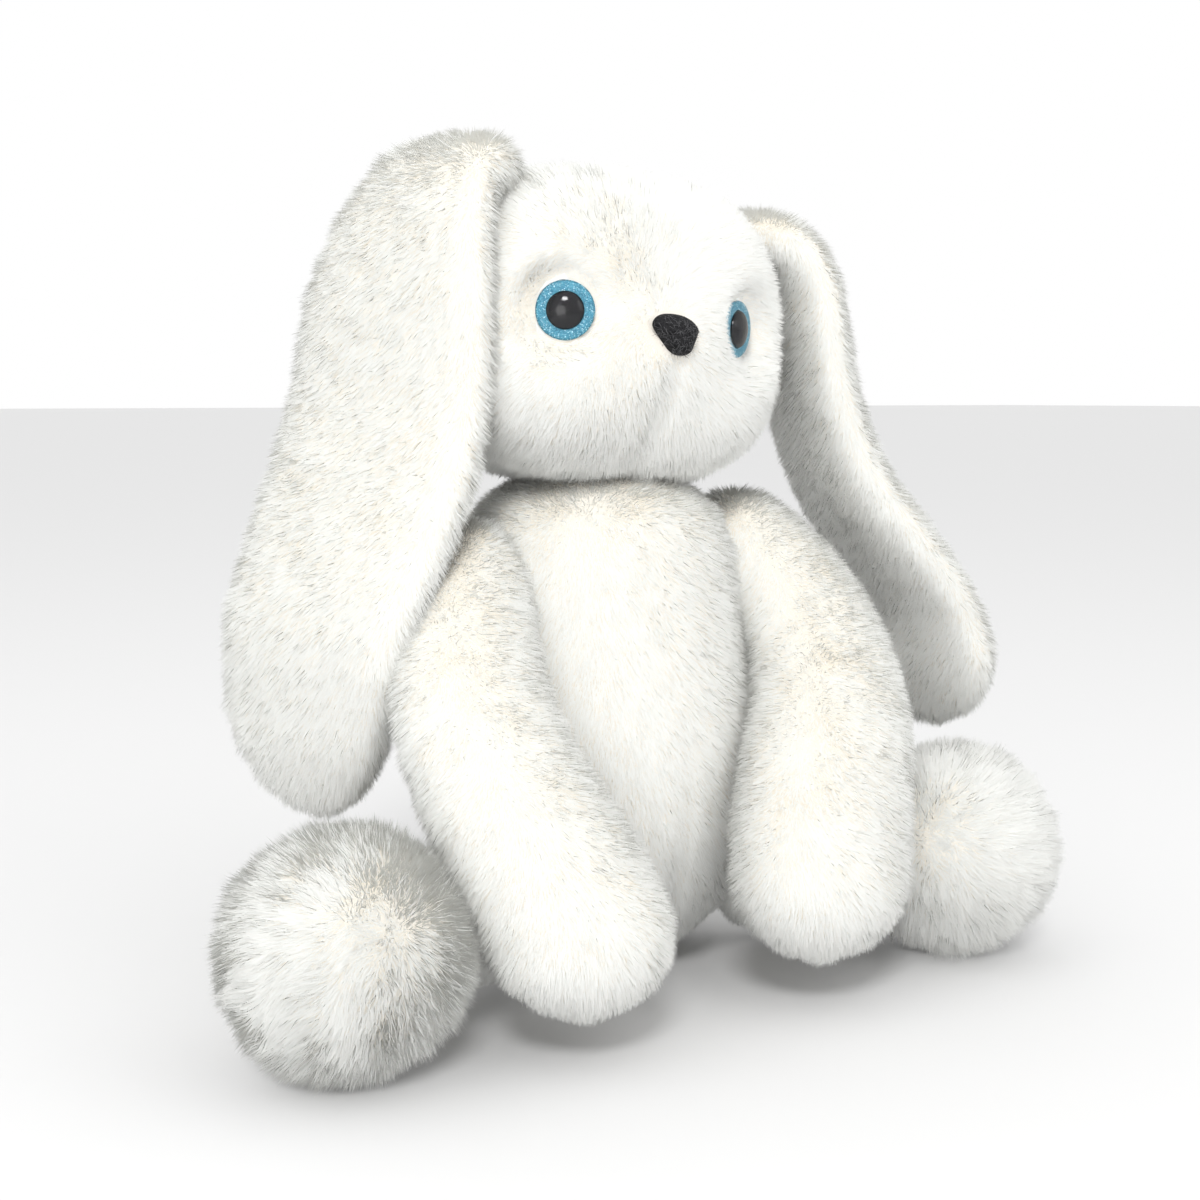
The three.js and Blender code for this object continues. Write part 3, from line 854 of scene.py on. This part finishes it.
def paint_hidden_parts():
    fibrefill = soft_filling("fibrefill", (0.9, 0.9, 0.88), 120.0)
    calico = soft_filling("calico", (0.78, 0.7, 0.55), 700.0)
    plastic, tree, shader = principled("washer_plastic", (0.85, 0.85, 0.82), 0.45)
    tree.links.new(spread(tree, noise(tree, 200.0), 0.35, 0.55), shader.inputs["Roughness"])
    finishes = {"stuffing": fibrefill, "pellet": calico, "washer": plastic}
    for name, packed in frame["nodes"].items():
        for word, material in finishes.items():
            if word in name:
                packed.data.materials.clear()
                packed.data.materials.append(material)


# ---------------------------------------------------------------- studio
LIT = (0, -0.02, 0.15)  # what the lamps point at, in metres
# Each lamp as its name, its place in metres, its width in metres and its power in watts.
LIGHTS = [
    ("key", (-0.85, -1.15, 1.45), 0.5, 14),
    ("fill", (0.9, -1.5, 0.9), 1.2, 3),
    ("low", (-1.3, -1.2, 0.35), 0.9, 4),
]


def area_light(name, place, target, size, power):
    data = bpy.data.lights.new(name, "AREA")
    data.shape = "DISK"
    data.size = size
    data.energy = power
    lamp = bpy.data.objects.new(name, data)
    lamp.location = place
    lamp.rotation_mode = "QUATERNION"
    lamp.rotation_quaternion = (Vector(target) - Vector(place)).to_track_quat("-Z", "Y")
    bpy.context.scene.collection.objects.link(lamp)


def studio():
    floor_material, _, _ = principled("pale_floor", (0.78, 0.78, 0.78), 0.9)
    size = 30000
    floor = mesh_piece(
        "floor", np.array([[-size, -size, 0], [size, -size, 0], [size, size, 0], [-size, size, 0]], float),
        np.array([[0, 1, 2, 3]]), floor_material, smooth=False)
    world = bpy.data.worlds.new("studio")
    world.use_nodes = True
    world.node_tree.nodes["Background"].inputs["Color"].default_value = (1, 1, 1, 1)
    world.node_tree.nodes["Background"].inputs["Strength"].default_value = 1.0
    bpy.context.scene.world = world
    bpy.context.scene.view_settings.view_transform = "Standard"
    for name, place, size, power in LIGHTS:
        area_light(name, place, LIT, size, power)


def camera():
    azimuth, elevation, distance = math.radians(-32.43), math.radians(6.36), 0.657
    target = Vector((-0.01136, -0.02112, 0.13707))
    back = Vector((math.sin(azimuth) * math.cos(elevation), -math.cos(azimuth) * math.cos(elevation),
                   math.sin(elevation)))
    data = bpy.data.cameras.new("camera")
    data.sensor_width = 36
    data.lens = 54.97
    eye = bpy.data.objects.new("camera", data)
    eye.location = target + back * distance
    eye.rotation_mode = "QUATERNION"
    eye.rotation_quaternion = (-back).to_track_quat("-Z", "Y")
    bpy.context.scene.collection.objects.link(eye)
    bpy.context.scene.camera = eye


make_torso()
make_head()
for side_name, side_sign in SIDES.items():
    make_ear(side_name, side_sign)
    make_arm(side_name, side_sign)
    make_leg(side_name, side_sign)
make_tail()
make_face_fittings()
paint_hidden_parts()
studio()
camera()
